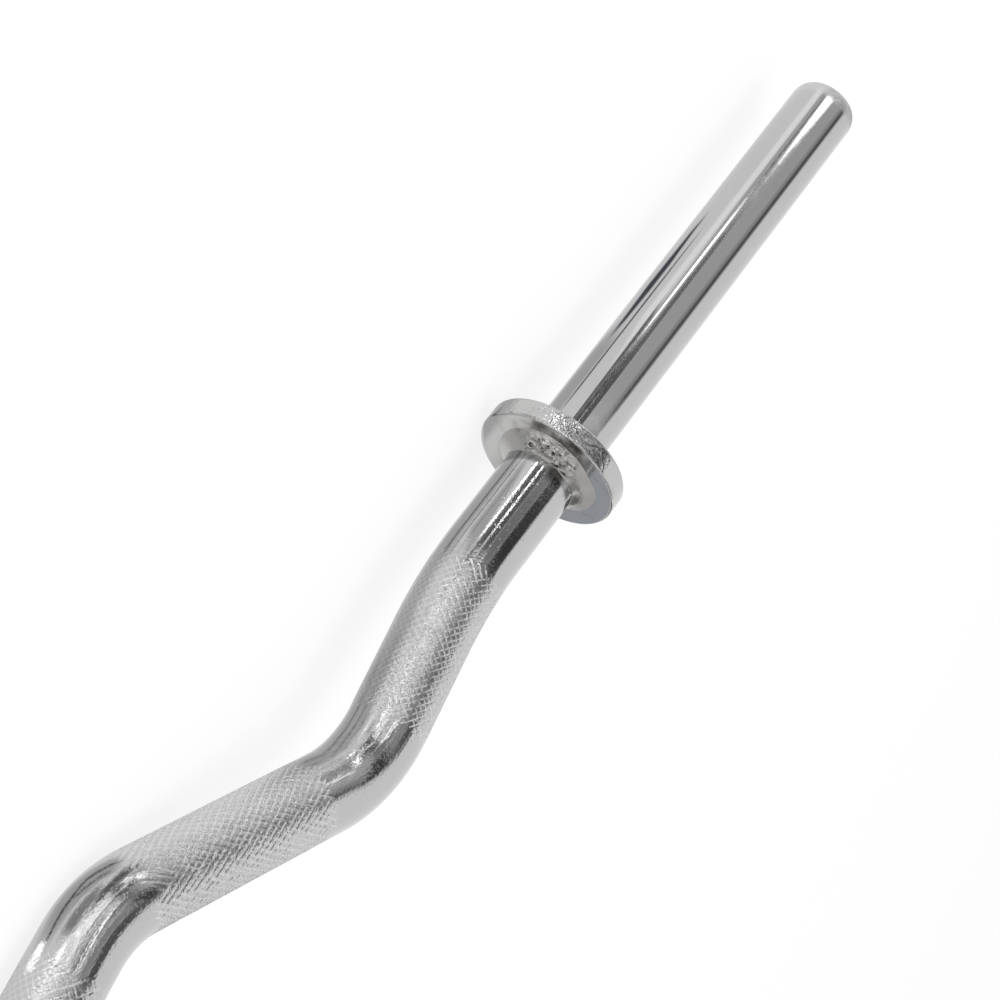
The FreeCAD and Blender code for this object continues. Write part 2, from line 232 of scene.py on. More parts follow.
def build_shaft():
    """One closed skin: smooth rings on the bends and straight ends, and the knurl's lattice between them."""
    points = []
    quads = []
    triangles = []
    grooves = []
    knurled = []
    lay = []
    count = 0
    column = np.arange(COLUMNS)
    after = (column + 1) % COLUMNS
    before = column - 1

    def add(block, groove, knurl, along, angle):
        nonlocal count
        points.append(block.reshape(-1, 3))
        grooves.append(groove.ravel())
        knurled.append(knurl.ravel())
        unrolled = np.stack([LAY_STRETCH * along, SHAFT_RADIUS * np.cos(angle), SHAFT_RADIUS * np.sin(angle)], -1)
        lay.append(unrolled.reshape(-1, 3) * MM)
        count += len(points[-1])
        return count - len(points[-1])

    def add_ring(along):
        plain = np.zeros(COLUMNS)
        frost = plain + BEND_FROST * bump_at(abs(along), KNURLED[0][0], KNURLED[-1][1], FROST_FADE)
        angle = column * 2 * math.pi / COLUMNS
        return add(shaft_points(plain + along, angle, plain + SHAFT_RADIUS), plain, frost, plain + along, angle)

    def bridge(first, second):
        quads.append(np.stack([first + column, first + after, second + after, second + column], 1))

    def add_knurl(low, high, spacing, steps, depths, frost, groove_frost_and_sheen, faint, previous):
        rows = 2 * int(round((high - low) / spacing * steps))
        lines = -(-COLUMNS // steps)
        row = np.arange(rows + 1)[:, None]
        along = low + row * (high - low) / rows + np.zeros(COLUMNS)
        place = 2 * column[None, :] + row % 2
        angle = place * math.pi / COLUMNS
        depth = np.zeros(along.shape)
        burr = np.zeros(along.shape)
        scour = np.zeros(along.shape)
        spots = [
            Vector((WEAR_ALONG * s, WEAR_ROUND * math.cos(t), WEAR_ROUND * math.sin(t)))
            for s, t in zip(along.flat, angle.flat)
        ]
        patches = np.array([noise.noise(spot) for spot in spots]).reshape(along.shape)
        wear = WEAR_MEAN + WEAR_PATCHES * patches + WEAR_GRAIN * rng.normal(size=along.shape)
        wear = np.clip(wear, *WEAR_LIMITS)
        turned = (np.degrees(angle) + 180) % 360 - 180
        wear = wear * (1 - faint * bump_at(turned, *FAINT_SIDE))
        for hand, share in zip(((place + row) // 2 % COLUMNS, (place - row) // 2 % COLUMNS), depths):
            line = hand // steps
            step = hand % steps
            # Each groove starts and stops a little apart from its neighbours
            starts = rng.gamma(GROOVE_END_SHAPE, GROOVE_END_SCALE, lines)[line]
            stops = rng.gamma(GROOVE_END_SHAPE, GROOVE_END_SCALE, lines)[line]
            rise = smoothstep((along - low - starts) / GROOVE_RUN_OUT)
            fall = smoothstep((high - stops - along) / GROOVE_RUN_OUT)
            cut = (step == 0) * rise * fall * wear * share
            sides = ((step == 1) | (step == steps - 1)) * rise * fall * share
            depth = np.maximum(depth, cut)
            burr = np.maximum(burr, BURR * sides)
            scour = np.maximum(scour, np.maximum(cut, GROOVE_SIDES * wear * sides))
        inside = smoothstep((along - low) / KNURL_EDGE) * smoothstep((high - along) / KNURL_EDGE)
        dents = TOP_DENTS * rng.normal(size=along.shape) * inside
        wobble = LINE_WOBBLE * rng.normal(size=(2, *along.shape)) * inside
        radius = SHAFT_RADIUS - GROOVE_DEPTH * np.where(depth > SHALLOWEST, depth, -burr) + dents
        block = shaft_points(along + wobble[0], angle + wobble[1] / SHAFT_RADIUS, radius)
        first = add(block, groove_frost_and_sheen * scour, np.maximum(frost * inside, BEND_FROST), along, angle)
        bridge(previous, first)
        for index in range(1, rows):
            here = first + index * COLUMNS
            left, right = (column, after) if index % 2 == 0 else (before % COLUMNS, column)
            quads.append(np.stack([here + left, here - COLUMNS + column, here + right, here + COLUMNS + column], 1))
        last = first + rows * COLUMNS
        triangles.append(np.stack([first + column, first + after, first + COLUMNS + column], 1))
        triangles.append(np.stack([last + column, last - COLUMNS + column, last + after], 1))
        return last

    spans = [
        (-high, -low, spacing, steps, depths[::-1], *frost)
        for low, high, spacing, steps, depths, *frost in reversed(KNURLED)
    ]
    spans += KNURLED
    place = -HALF_LENGTH
    last = add_ring(place)
    ends = [last + column[::-1]]
    for low, high, *pattern in spans + [(HALF_LENGTH, None)]:
        rings = max(1, int(round((low - place) / SMOOTH_STEP)))
        stop = rings if high is None else rings - 1
        for index in range(1, stop + 1):
            ring = add_ring(place + (low - place) * index / rings)
            bridge(last, ring)
            last = ring
        if high is not None:
            last = add_knurl(low, high, *pattern, last)
            place = high
    ends.append(last + column)
    faces = np.concatenate(quads).tolist() + np.concatenate(triangles).tolist() + [end.tolist() for end in ends]
    made = make_object("shaft_skin", np.concatenate(points), faces, sharp_angle=40.0)
    # The grooves are rougher and painted paler, a painted sheen
    add_values(made, "groove", np.clip(np.concatenate(grooves), 0, 1))
    add_values(made, "knurl", np.concatenate(knurled))
    made.data.attributes.new("lay", "FLOAT_VECTOR", "POINT").data.foreach_set("vector", np.concatenate(lay).ravel())
    distance = np.abs(np.concatenate(lay)[:, 0]) / MM / LAY_STRETCH
    bent = bump_at(distance, KNURLED[0][1], KNURLED[1][0], BEND_FADE)
    bent += bump_at(distance, KNURLED[1][1], KNURLED[2][0], BEND_FADE)
    add_values(made, "bent", STRAIGHT_LAY + (1 - STRAIGHT_LAY) * bent)
    # A darker patch painted on the shaft beside the weld
    spot = np.concatenate(points)
    turn = np.degrees(np.arctan2(spot[:, 2] - AXIS_Z, spot[:, 1] - AXIS_Y))
    near_weld = bump_at(np.abs(spot[:, 0]), DARK_PATCH_START, RING_INNER_FACE, DARK_PATCH_FADE)
    add_values(made, "stain_and_shade", DARK_PATCH_STRENGTH * near_weld * bump_at(turn, *DARK_PATCH_ANGLES))
    return made


def lathe_points(profile, side, segments):
    """Points of a skin of revolution round the sleeves' axis. profile is (along, radius) pairs."""
    profile = np.asarray(profile, float)
    angle = np.arange(segments) * 2 * math.pi / segments
    along, turn = np.meshgrid(profile[:, 0], angle, indexing="ij")
    radius = np.repeat(profile[:, 1][:, None], segments, axis=1)
    return end_points(along, turn, radius, side).reshape(-1, 3)


def grid_faces(rows, segments, closed=False):
    """Quads of a grid that closes round its columns, and round its rows too if asked."""
    faces = []
    for row in range(rows if closed else rows - 1):
        here = row * segments
        above = (row + 1) % rows * segments
        for column in range(segments):
            after = (column + 1) % segments
            faces.append((here + column, here + after, above + after, above + column))
    return faces


# The sleeve's end is a superellipse in section; near the tip it is rougher and painted paler, a painted sheen. Lengths
# in millimetres
SLEEVE_SEGMENTS = 192
SLEEVE_INSIDE_RING = 1.0
SLEEVE_END_LENGTH = 7.5
SLEEVE_END_POWER = 3.0
SLEEVE_FACE_HOLE = 0.4
TIP_DULL = 8.5
TIP_FADE = 0.6


def build_sleeve(side, label):
    """A turned sleeve with a rounded outer end."""
    straight_end = SLEEVE_END - SLEEVE_END_LENGTH
    profile = [(RING_INNER_FACE + SLEEVE_INSIDE_RING, SLEEVE_RADIUS)]
    profile += [(along, SLEEVE_RADIUS) for along in np.linspace(RING_OUTER_FACE, straight_end, 60)]
    for bend in np.linspace(0, 1, 41)[1:] * math.pi / 2:
        drop = SLEEVE_END_RADIUS * (1 - math.cos(bend) ** (2 / SLEEVE_END_POWER))
        reach = SLEEVE_END_LENGTH * math.sin(bend) ** (2 / SLEEVE_END_POWER)
        profile.append((straight_end + reach, SLEEVE_RADIUS - drop))
    face = SLEEVE_RADIUS - SLEEVE_END_RADIUS
    profile += [(SLEEVE_END, radius) for radius in np.linspace(face, SLEEVE_FACE_HOLE, 9)[1:]]
    points = lathe_points(profile, side, SLEEVE_SEGMENTS)
    faces = grid_faces(len(profile), SLEEVE_SEGMENTS)
    faces.append(tuple((len(profile) - 1) * SLEEVE_SEGMENTS + column for column in range(SLEEVE_SEGMENTS)))
    faces.append(tuple(range(SLEEVE_SEGMENTS)))
    made = make_object(label, points, faces)
    face_outwards(made)
    # Near the tip the sleeve is rougher and painted paler, a painted sheen
    from_tip = SLEEVE_END - np.abs(points[:, 0])
    add_values(made, "groove", smoothstep((TIP_DULL - from_tip) / (TIP_FADE * TIP_DULL)))
    return made


def noise_at(points, scale, seed, octaves=1):
    """Smooth noise at points in millimetres."""
    total = np.zeros(len(points))
    size = 1.0
    for octave in range(octaves):
        shift = Vector((seed * 17.3 + octave * 5.1, seed * 3.7, seed * 9.2))
        total += size * np.array([noise.noise(Vector(p) * (scale * 2**octave) + shift) for p in points])
        size *= 0.5
    return total


# The ring's pitted rim: how pitted it is everywhere, and (share, from, to, fade) by the angle round it in degrees
RING_SEGMENTS = 720
RIM_PITTED_ALL = 0.05
RIM_PITTED = [
    (0.50, -42, -12, 15),
    (1.0, -6, 28, 10),
    (0.55, 40, 55, 4),
    (0.4, 140, 175, 20),
    (0.4, -165, -130, 20),
]
# Its two sets of pits: depth in millimetres, scale and how much of the rim they take
COARSE_PITS = (0.16, 0.75, 0.1)
FINE_PITS = (0.19, 1.1, 0.05)
RIM_SHOULDER = 0.3
# Painted shade by the weld and a painted dark reflection by the rim, on its inner face, as (from, to, fade): radii in
# millimetres and angles in degrees
FACE_SHADE_RADII = (19.0, 23.0, 3.5)
FACE_SHADE_ANGLES = (-25, 38, 20)
RIM_DARK_REFLECTION_RADII = (25.0, 27.0, 1.8)
RIM_DARK_REFLECTION_ANGLES = [(-9, -1, 5), (22, 32, 5)]
FACE_SHADE = 0.55
RIM_DARK_REFLECTION = 0.8
# Faint blotches all over: scale, from what noise up, and strength
BLOTCH_SCALE = 0.22
BLOTCH_FROM = 0.35
BLOTCH_STAIN = 0.12


def patchy(angle, everywhere, places):
    """A share that is the same everywhere, with more of it at places by the angle."""
    return everywhere + sum(share * bump_at(angle, low, high, soft) for share, low, high, soft in places)


def build_ring(side, label):
    """A flat ring with softly broken edges, a rim that is pitted in places, painted shade round the weld, a painted
    dark reflection by the rim and faint blotches.
    """
    face = RING_RADIUS - RING_EDGE
    low = RING_INNER_FACE + RING_EDGE
    high = RING_OUTER_FACE - RING_EDGE
    bends = np.linspace(0, 1, 5)[1:] * math.pi / 2
    profile = [(RING_OUTER_FACE, radius) for radius in np.linspace(RING_BORE, face, 14)]
    profile += [(high + RING_EDGE * math.cos(bend), face + RING_EDGE * math.sin(bend)) for bend in bends]
    profile += [(along, RING_RADIUS) for along in np.linspace(high, low, 24)[1:]]
    profile += [(low - RING_EDGE * math.sin(bend), face + RING_EDGE * math.cos(bend)) for bend in bends]
    profile += [(RING_INNER_FACE, radius) for radius in np.linspace(face, RING_BORE, 40)[1:]]
    points = lathe_points(profile, side, RING_SEGMENTS)
    radial = points - np.array([0, AXIS_Y, AXIS_Z])
    radial[:, 0] = 0
    length = np.linalg.norm(radial, axis=1)
    angle = np.degrees(np.arctan2(radial[:, 2], radial[:, 1]))
    on_rim = length > face + RIM_SHOULDER
    spot = points[on_rim]
    pits = np.zeros(len(spot))
    for seed, (depth, scale, share) in ((3, COARSE_PITS), (11, FINE_PITS)):
        pits += depth * np.clip(noise_at(spot, scale, seed, octaves=2) + share, 0, None)
    pits *= patchy(angle[on_rim], RIM_PITTED_ALL, RIM_PITTED)
    points[on_rim] -= radial[on_rim] / length[on_rim][:, None] * pits[:, None]
    made = make_object(label, points, grid_faces(len(profile), RING_SEGMENTS, closed=True), sharp_angle=50.0)
    face_outwards(made)
    blotch = noise_at(points, BLOTCH_SCALE, seed=21, octaves=3)
    # Painted shade on the inner face round the weld and a painted dark reflection along the rim, with faint blotches
    # over all
    near_weld = bump_at(length, *FACE_SHADE_RADII) * bump_at(angle, *FACE_SHADE_ANGLES)
    near_rim = bump_at(length, *RIM_DARK_REFLECTION_RADII) * sum(bump_at(angle, *place) for place in RIM_DARK_REFLECTION_ANGLES)
    inner = np.abs(points[:, 0]) < RING_INNER_FACE + 0.1
    stain_and_shade = inner * (FACE_SHADE * near_weld * (0.7 + blotch) + RIM_DARK_REFLECTION * near_rim)
    add_values(made, "stain_and_shade", np.clip(stain_and_shade + BLOTCH_STAIN * (blotch > BLOTCH_FROM), 0, 1))
    return made


WELD_SEGMENTS = 540
WELD_ROWS = 44
# How the bead's edges wander along the shaft and out on the ring, and how much farther out it runs about one angle
LOBE_SCALE = 1.6
LOBE_ALONG = 0.20
LOBE_OUT = 0.22
SPREAD = 0.18
SPREAD_ANGLE = 8
SPREAD_WIDTH = 30
# Deep pits in the bead, as (angle round the axis from +Y towards +Z in degrees, radius from the axis, size) in mm
WELD_PITS = [
    (-13.0, 16.2, 1.1),
    (2.0, 17.4, 1.2),
    (8.0, 18.4, 0.6),
    (17.0, 17.4, 0.8),
    (24.0, 18.2, 0.6),
    (33.0, 16.4, 1.2),
    (46.0, 18.4, 0.8),
    (-4.0, 18.8, 0.5),
    (150.0, 16.8, 0.9),
    (205.0, 17.5, 1.1),
    (262.0, 16.2, 0.8),
]
# Pits' depth and width, the width of the painted shade in them, and their lips' height, place and width
PIT_DEPTH = 1.7
PIT_WIDTH = 0.62
PIT_SHADE_WIDTH = 0.65
PIT_LIP = 0.40
PIT_LIP_PLACE = 1.1
PIT_LIP_WIDTH = 0.30
# Small lumps strewn over the bead, and where it is busy with them: (share, from, to, fade) in degrees
WELD_LUMPS = 70
LUMP_HEIGHT = 0.55
LUMP_RADII = (15.0, 19.5)
LUMP_SIZES = (0.5, 1.3)
WELD_BUSY_ALL = 0.12
WELD_BUSY = [(0.88, -8, 45, 26), (0.5, 130, 170, 20), (0.5, -160, -110, 20)]
# The bead's own unevenness: the scales of its swells and its grain, and heights in millimetres, more where it is busy
SWELL_SCALE = 0.26
GRAIN_SCALE = 1.3
SUNK = 0.25
BUSY_RISE = 0.55
SWELL_HEIGHT = 0.45
BUSY_SWELL = 0.65
BUSY_GRAIN = 0.10
# How hollow its section is: everywhere, and how much more at the hollow angles
HOLLOW_ALL = 0.25
HOLLOW_MORE = 0.65
# Angles (from, to, fade) where the bead is hollow, has its smooth facet, is rough with a painted sheen, and has painted
# shade
WELD_HOLLOW = (-115, -35, 20)
WELD_FACET = (60, 112, 14)
WELD_MATT_SHEEN = (56, 130, 16)
WELD_SHADE_ANGLES = (-8, 50, 20)
FACET_SLANT = 16
FACET_SMOOTH = 0.95
FACET_HEIGHT = 0.15
SEAM_PLACE = 0.46
SEAM_DEPTH = 0.25
# The direction in which the bead's lumps rise: along the shaft and out from it
RISE_ALONG = 0.77
RISE_OUT = 0.64
# How far the bead's two edges go into the shaft and the ring, in millimetres
TOE_INTO_SHAFT = 0.5
TOE_INTO_RING = 0.3


def gap_to(degrees, out, angle, radius):
    """Distance over the bead from a spot at this angle and radius, in millimetres."""
    turned = (degrees - angle + 180) % 360 - 180
    return np.hypot(np.radians(turned) * out, (out - radius) * 1.4)


def build_weld(side, label):
    """A bead between the shaft and the ring's inner face: smooth in places, lumpy and pitted in others."""
    around = np.arange(WELD_SEGMENTS) * 2 * math.pi / WELD_SEGMENTS
    turn, part = np.meshgrid(around, np.linspace(0, 1, WELD_ROWS), indexing="xy")
    degrees = (np.degrees(turn) + 180) % 360 - 180
    lobes = [
        np.array([noise.noise(Vector((LOBE_SCALE * math.cos(a), LOBE_SCALE * math.sin(a), seed))) for a in around])
        for seed in (1.5, 8.5)
    ]
    spread = SPREAD * np.exp(-(((degrees[0] - SPREAD_ANGLE) / SPREAD_WIDTH) ** 2))
    toe_along = WELD_TOE_SHAFT * (1 + LOBE_ALONG * lobes[0])
    toe_out = WELD_TOE_RING * (1 + LOBE_OUT * lobes[1] + spread)
    hollow = HOLLOW_ALL + HOLLOW_MORE * bump_at(degrees, *WELD_HOLLOW)
    swing = part * math.pi / 2
    along = RING_INNER_FACE - toe_along[None, :] * ((1 - part) * (1 - hollow) + (1 - np.sin(swing)) * hollow)
    out = SHAFT_RADIUS + toe_out[None, :] * (part * (1 - hollow) + (1 - np.cos(swing)) * hollow)
    flat = np.stack([along, out * np.cos(turn), out * np.sin(turn)], -1).reshape(-1, 3)
    swells = noise_at(flat, SWELL_SCALE, seed=5, octaves=2).reshape(along.shape)
    grain = noise_at(flat, GRAIN_SCALE, seed=9, octaves=2).reshape(along.shape)
    busy = patchy(degrees, WELD_BUSY_ALL, WELD_BUSY)
    raised = BUSY_RISE * busy - SUNK + (SWELL_HEIGHT + BUSY_SWELL * busy) * swells + BUSY_GRAIN * busy * grain
    draw = np.random.default_rng(19)
    angles = draw.uniform(-180, 180, WELD_LUMPS)
    radii = draw.uniform(*LUMP_RADII, WELD_LUMPS)
    sizes = draw.uniform(*LUMP_SIZES, WELD_LUMPS)
    for angle, radius, size in zip(angles, radii, sizes):
        gap = gap_to(degrees, out, angle, radius)
        raised += LUMP_HEIGHT * size * busy * np.exp(-((gap / size) ** 2))
    # A smooth facet on one side, with a sunken seam towards the shaft; the seam and the facet's side towards the shaft
    # get painted shade further down
    facet = bump_at(degrees + FACET_SLANT * (part - 0.5), *WELD_FACET)
    seam = part - SEAM_PLACE - 0.07 * swells
    raised *= 1 - FACET_SMOOTH * facet
    raised += facet * (FACET_HEIGHT - SEAM_DEPTH * np.exp(-((seam / 0.04) ** 2)))
    # Each pit is painted dark, a painted shade, besides its dent
    dark = np.zeros(along.shape)
    for angle, radius, size in WELD_PITS:
        gap = gap_to(degrees, out, angle, radius)
        raised -= PIT_DEPTH * size * np.exp(-((gap / (PIT_WIDTH * size)) ** 4))
        raised += PIT_LIP * size * np.exp(-(((gap - PIT_LIP_PLACE * size) / (PIT_LIP_WIDTH * size)) ** 2))
        dark = np.maximum(dark, np.exp(-((gap / (PIT_SHADE_WIDTH * size)) ** 4)))
    # Nothing rises at the bead's two edges
    raised *= smoothstep(part / 0.3) * smoothstep((1 - part) / 0.45)
    along = along - RISE_ALONG * raised
    out = out + RISE_OUT * raised
    along[0] += 0.4
    out[0] -= TOE_INTO_SHAFT
    out[-1] += 0.2
    along[-1] = RING_INNER_FACE + TOE_INTO_RING
    points = end_points(along, turn, out, side).reshape(-1, 3)
    made = make_object(label, points, grid_faces(WELD_ROWS, WELD_SEGMENTS, closed=True), sharp_angle=60.0)
    face_outwards(made)
    # Painted shade: darker in the low spots on one side, on the facet's side towards the shaft and in its seam
    weld_shade = 0.35 * bump_at(degrees, *WELD_SHADE_ANGLES) * np.clip(0.3 - swells, 0, 1)
    weld_shade += facet * (0.30 * smoothstep(-seam / 0.06) + 0.35 * np.exp(-((seam / 0.05) ** 2)))
    # The top facet is rougher and painted paler, a painted sheen
    matt_and_sheen = bump_at(degrees, *WELD_MATT_SHEEN) * smoothstep((part - 0.30) / 0.25) * np.clip(1 - 1.5 * weld_shade, 0, 1)
    add_values(made, "stain_and_shade", np.clip(dark + weld_shade, 0, 1).ravel())
    add_values(made, "groove", matt_and_sheen.ravel())
    return made


# Materials


def new_material(name):
    made = bpy.data.materials.new(name)
    made.use_nodes = True
    tree = made.node_tree
    tree.nodes.clear()
    return made, tree


def add_node(tree, kind, **inputs):
    node = tree.nodes.new(kind)
    for key, value in inputs.items():
        node.inputs[key.replace("_", " ")].default_value = value
    return node


def attribute(tree, name):
    node = tree.nodes.new("ShaderNodeAttribute")
    node.attribute_name = name
    return node.outputs["Fac"]


def map_range(tree, value, given=(0.0, 1.0), wanted=(0.0, 1.0), kind="LINEAR"):
    """Brings a value from a given range to a wanted one."""
    node = tree.nodes.new("ShaderNodeMapRange")
    node.interpolation_type = kind
    for key, limit in zip(("From Min", "From Max", "To Min", "To Max"), (*given, *wanted)):
        node.inputs[key].default_value = limit
    tree.links.new(value, node.inputs["Value"])
    return node.outputs["Result"]


def add_noise(tree, place, scale, detail):
    texture = add_node(tree, "ShaderNodeTexNoise", Scale=scale, Detail=detail)
    tree.links.new(place, texture.inputs["Vector"])
    return texture.outputs["Fac"]


def mix_colour(tree, factor, first, second):
    """Blends a colour socket, or a plain colour, into a plain colour by a factor that changes over the surface."""
    mix = tree.nodes.new("ShaderNodeMix")
    mix.data_type = "RGBA"
    if isinstance(first, tuple):
        mix.inputs["A"].default_value = (*first, 1)
    else:
        tree.links.new(first, mix.inputs["A"])
    mix.inputs["B"].default_value = (*second, 1)
    tree.links.new(factor, mix.inputs["Factor"])
    return mix.outputs["Result"]


# Scales of the textures, in waves or cells for each metre. The lay has two, each with its share of the height
CLOUD_SCALE = 45.0
SMEAR_SCALE = 260.0
WAVE_SCALE = 90.0
PEEL_SCALE = 1900.0
KNURL_GRAIN_SCALE = 1150.0
LAY_SCALES = ((420.0, 1.0), (1100.0, 0.45))
PATCH_SCALE = 150.0
SPECK_SCALE = 700.0
BEND_SPECK_SCALE = 950.0
# How dark the clouds are, the ranges of noise that become smears and patches of specks, and a speck's slope in its cell
CLOUD_DARK = 0.95
SMEAR_RANGE = (0.3, 0.7)
PATCH_RANGE = (0.48, 0.65)
SPECK_RANGE = (0.05, 0.30)


def add_specks(tree, place, normal, scale, height, where):
    """Small round dents, as strong as where says."""
    cells = add_node(tree, "ShaderNodeTexVoronoi", Scale=scale, Randomness=1.0)
    tree.links.new(place, cells.inputs["Vector"])
    dent = map_range(tree, cells.outputs["Distance"], SPECK_RANGE, kind="SMOOTHSTEP")
    bump = add_node(tree, "ShaderNodeBump", Distance=height * MM)
    tree.links.new(where, bump.inputs["Strength"])
    tree.links.new(dent, bump.inputs["Height"])
    tree.links.new(normal, bump.inputs["Normal"])
    return bump.outputs["Normal"]


def chrome(name, colour, roughness, spread, wave, peel, speckle=0.0, tint=None, stain_and_shade=None, matt_and_sheen=None, knurl=None):
    """Chrome plate. wave, peel and speckle are bump heights in millimetres: slow ripple, orange peel and small pits.

    tint is the second colour of its clouds, and the dark colour after it is painted where its attribute says: painted
    shade, faint blotches and a darker patch beside the weld.
    The pair after that is roughness added where the groove attribute says and a paler colour painted there, a painted
    sheen.
    knurl has the knurl's own roughness and the bump heights of knurl and bends.
    """
    made, tree = new_material(name)
    link = tree.links.new
    place = tree.nodes.new("ShaderNodeTexCoord").outputs["Object"]
    shader = tree.nodes.new("ShaderNodeBsdfPrincipled")
    shader.inputs["Metallic"].default_value = 1.0
    output = tree.nodes.new("ShaderNodeOutputMaterial")
    link(shader.outputs["BSDF"], output.inputs["Surface"])

    cloud = add_noise(tree, place, CLOUD_SCALE, detail=3.0)
    paint = mix_colour(tree, cloud, tuple(c * CLOUD_DARK for c in colour), tint or colour)
    if stain_and_shade:
        paint = mix_colour(tree, attribute(tree, "stain_and_shade"), paint, stain_and_shade)
    if matt_and_sheen:
        paint = mix_colour(tree, attribute(tree, "groove"), paint, matt_and_sheen[1])
    link(paint, shader.inputs["Base Color"])

    smear = add_noise(tree, place, SMEAR_SCALE, detail=4.0)
    rough = map_range(tree, smear, SMEAR_RANGE, (roughness - spread, roughness + spread))
    added = [("groove", matt_and_sheen[0])] if matt_and_sheen else []
    if knurl:
        added.append(("knurl", knurl["rough"]))
    for layer, most in added:
        total = tree.nodes.new("ShaderNodeMath")
        total.operation = "ADD"
        link(rough, total.inputs[0])
        link(map_range(tree, attribute(tree, layer), wanted=(0.0, most)), total.inputs[1])
        rough = total.outputs["Value"]
    link(rough, shader.inputs["Roughness"])

    # Bumps, each over the one before: scale, detail, height, the coordinates and where they are
    layers = [(WAVE_SCALE, 2.0, wave, place, None), (PEEL_SCALE, 3.0, peel, place, None)]
    if knurl:
        layers.append((KNURL_GRAIN_SCALE, 3.0, knurl["grain"], place, attribute(tree, "knurl")))
        drawn = tree.nodes.new("ShaderNodeAttribute")
        drawn.attribute_name = "lay"
        for scale, share in LAY_SCALES:
            layers.append((scale, 2.0, share * knurl["lay"], drawn.outputs["Vector"], attribute(tree, "bent")))
    normal = None
    for scale, detail, height, spot, where in layers:
        bump = add_node(tree, "ShaderNodeBump", Strength=1.0, Distance=height * MM)
        link(add_noise(tree, spot, scale, detail), bump.inputs["Height"])
        if where:
            link(where, bump.inputs["Strength"])
        if normal:
            link(normal, bump.inputs["Normal"])
        normal = bump.outputs["Normal"]
    if speckle:
        patches = map_range(tree, add_noise(tree, place, PATCH_SCALE, detail=2.0), PATCH_RANGE)
        normal = add_specks(tree, place, normal, SPECK_SCALE, speckle, patches)
    if knurl:
        normal = add_specks(tree, place, normal, BEND_SPECK_SCALE, knurl["specks"], attribute(tree, "bent"))
    link(normal, shader.inputs["Normal"])
    return made


shaft_chrome = chrome(
    "knurled_chrome",
    colour=(0.53, 0.53, 0.535),
    roughness=0.08,
    spread=0.03,
    wave=0.005,
    peel=0.020,
    speckle=0.055,
    # the darker patch painted on the shaft beside the weld
    stain_and_shade=(0.10, 0.095, 0.09),
    # rougher grooves painted paler, a painted sheen
    matt_and_sheen=(0.30, (0.75, 0.75, 0.755)),
    knurl={"rough": 0.03, "grain": 0.17, "lay": 0.07, "specks": 0.03},
)
sleeve_chrome = chrome(
    "polished_chrome",
    colour=(0.52, 0.52, 0.525),
    roughness=0.09,
    spread=0.02,
    wave=0.012,
    peel=0.001,
    # rougher tip painted paler, a painted sheen
    matt_and_sheen=(0.36, (0.60, 0.60, 0.605)),
)
ring_chrome = chrome(
    "ring_chrome",
    colour=(0.53, 0.53, 0.53),
    roughness=0.15,
    spread=0.05,
    wave=0.010,
    peel=0.030,
    speckle=0.020,
    tint=(0.545, 0.54, 0.535),
    # the dark colour of the painted shade and dark reflection, and of the blotches
    stain_and_shade=(0.24, 0.225, 0.205),
)
weld_chrome = chrome(
    "weld_chrome",
    colour=(0.50, 0.494, 0.482),
    roughness=0.25,
    spread=0.08,
    wave=0.010,
    peel=0.020,
    speckle=0.015,
    tint=(0.535, 0.527, 0.508),
    # the dark colour of the painted shade in the pits, low spots and seam
    stain_and_shade=(0.09, 0.078, 0.065),
    # rougher and painted paler on the top facet, a painted sheen
    matt_and_sheen=(0.40, (0.60, 0.592, 0.575)),
)


def finish_piece(made, material, slot, *nodes):
    made.data.materials.append(material)
    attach(made, "root")
    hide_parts(*nodes)


finish_piece(build_shaft(), shaft_chrome, "knurled_chrome", "shaft")
for side, word in ((-1, "left"), (1, "right")):
    finish_piece(build_sleeve(side, word + "_sleeve_skin"), sleeve_chrome, "polished_chrome", word + "_sleeve")
    finish_piece(build_ring(side, word + "_ring_skin"), ring_chrome, "ring_chrome", word + "_stop_ring")
    finish_piece(build_weld(side, word + "_weld_skin"), weld_chrome, "weld_chrome", word + "_ring_weld")


# Stage: floor, world, lamp and the studio's cards and mats, which only the chrome shows

FLOOR_HALF = 8.0
FLOOR_COLOUR = (0.92, 0.92, 0.92, 1)
# Share of the floor that is plain white background. The rest takes the bar's shadow
FLOOR_WHITE = 0.80
SKY_COLOUR = (0.92, 0.92, 0.92, 1)
WHITE = (1, 1, 1, 1)


def stage_material(name, colour, strength):
    """A card of one brightness whose edges fade out, as its cover attribute says."""
    made, tree = new_material(name)
    link = tree.links.new
    glow = add_node(tree, "ShaderNodeEmission", Strength=strength)
    glow.inputs["Color"].default_value = (*colour, 1)
    mix = tree.nodes.new("ShaderNodeMixShader")
    link(map_range(tree, attribute(tree, "cover"), kind="SMOOTHSTEP"), mix.inputs["Fac"])
    link(tree.nodes.new("ShaderNodeBsdfTransparent").outputs["BSDF"], mix.inputs[1])
    link(glow.outputs["Emission"], mix.inputs[2])
    output = tree.nodes.new("ShaderNodeOutputMaterial")
    link(mix.outputs["Shader"], output.inputs["Surface"])
    made.cycles.emission_sampling = "NONE"
    return made


def background_ray(tree):
    """1 for the rays that show the background: the camera's, and those that metal and glass send on."""
    path = tree.nodes.new("ShaderNodeLightPath")
    seen = path.outputs["Is Camera Ray"]
    for kind in ("Is Glossy Ray", "Is Transmission Ray"):
        either = tree.nodes.new("ShaderNodeMath")
        either.operation = "MAXIMUM"
        tree.links.new(seen, either.inputs[0])
        tree.links.new(path.outputs[kind], either.inputs[1])
        seen = either.outputs["Value"]
    return seen


